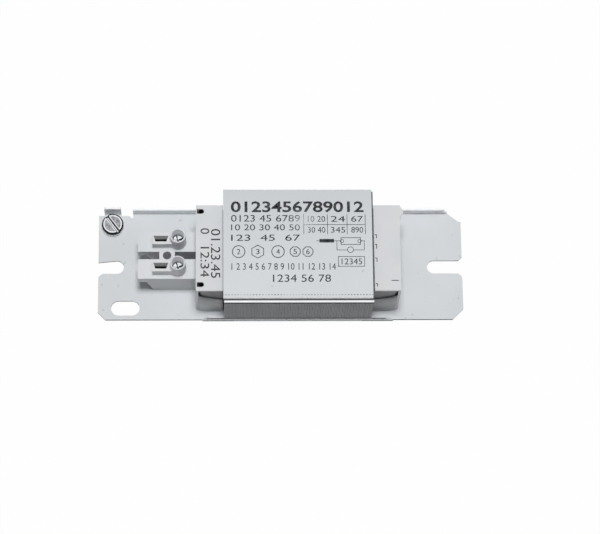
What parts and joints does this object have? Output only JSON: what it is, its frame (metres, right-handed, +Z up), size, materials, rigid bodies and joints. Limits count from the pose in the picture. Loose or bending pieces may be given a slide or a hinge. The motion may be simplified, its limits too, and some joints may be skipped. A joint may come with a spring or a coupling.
{
  "type": "fluorescent lamp ballast",
  "caption": "Magnetic lamp ballast: laminated choke under a folded cover on a long flanged steel plate, with end notches, a screw terminal block and an earth screw.",
  "frame": {"origin": "on the base plate's underside, at half the plate's length and in the core's middle plane", "axes": "+X along the base plate away from the terminal block, +Y across the plate towards the tall back flange and the earth lug, +Z up from the plate to the cover"},
  "size_m": [0.135, 0.0423, 0.028],
  "materials": {
    "plate_steel": "light grey coated sheet steel, satin",
    "cover_steel": "light grey coated sheet steel, satin",
    "lamination_steel": "dark varnished edges of electrical steel sheets",
    "spacer_sheet": "light pressboard sheet",
    "former_plastic": "light moulded plastic",
    "cap_plastic": "light grey moulded plastic",
    "tray_plastic": "grey moulded plastic",
    "block_plastic": "light grey moulded plastic",
    "tape_film": "dark insulating tape",
    "liner_paper": "insulating paper",
    "winding_copper": "enamelled copper wire",
    "clamp_steel": "zinc plated steel",
    "screw_steel": "zinc plated steel"
  },
  "bodies": {
    "root": {"base_plate": "plate_steel", "core_lower_stack": "lamination_steel", "air_gap_spacer": "spacer_sheet", "core_upper_stack": "lamination_steel", "top_cover": "cover_steel", "coil_former": "former_plastic", "coil_winding": "winding_copper", "window_liner_front": "liner_paper", "window_liner_back": "liner_paper", "end_tape_left": "tape_film", "end_tape_right": "tape_film", "end_tray_left": "tray_plastic", "end_tray_right": "tray_plastic", "end_cap_left": "cap_plastic", "end_cap_right": "cap_plastic", "terminal_block": "block_plastic", "clamp_cage_front": "clamp_steel", "clamp_cage_back": "clamp_steel", "pressure_plate_front": "clamp_steel", "pressure_plate_back": "clamp_steel", "terminal_screw_front": "screw_steel", "terminal_screw_back": "screw_steel", "coil_lead_front": "winding_copper", "coil_lead_back": "winding_copper", "earth_screw": "screw_steel", "earth_washer": "screw_steel"}
  },
  "joints": []
}
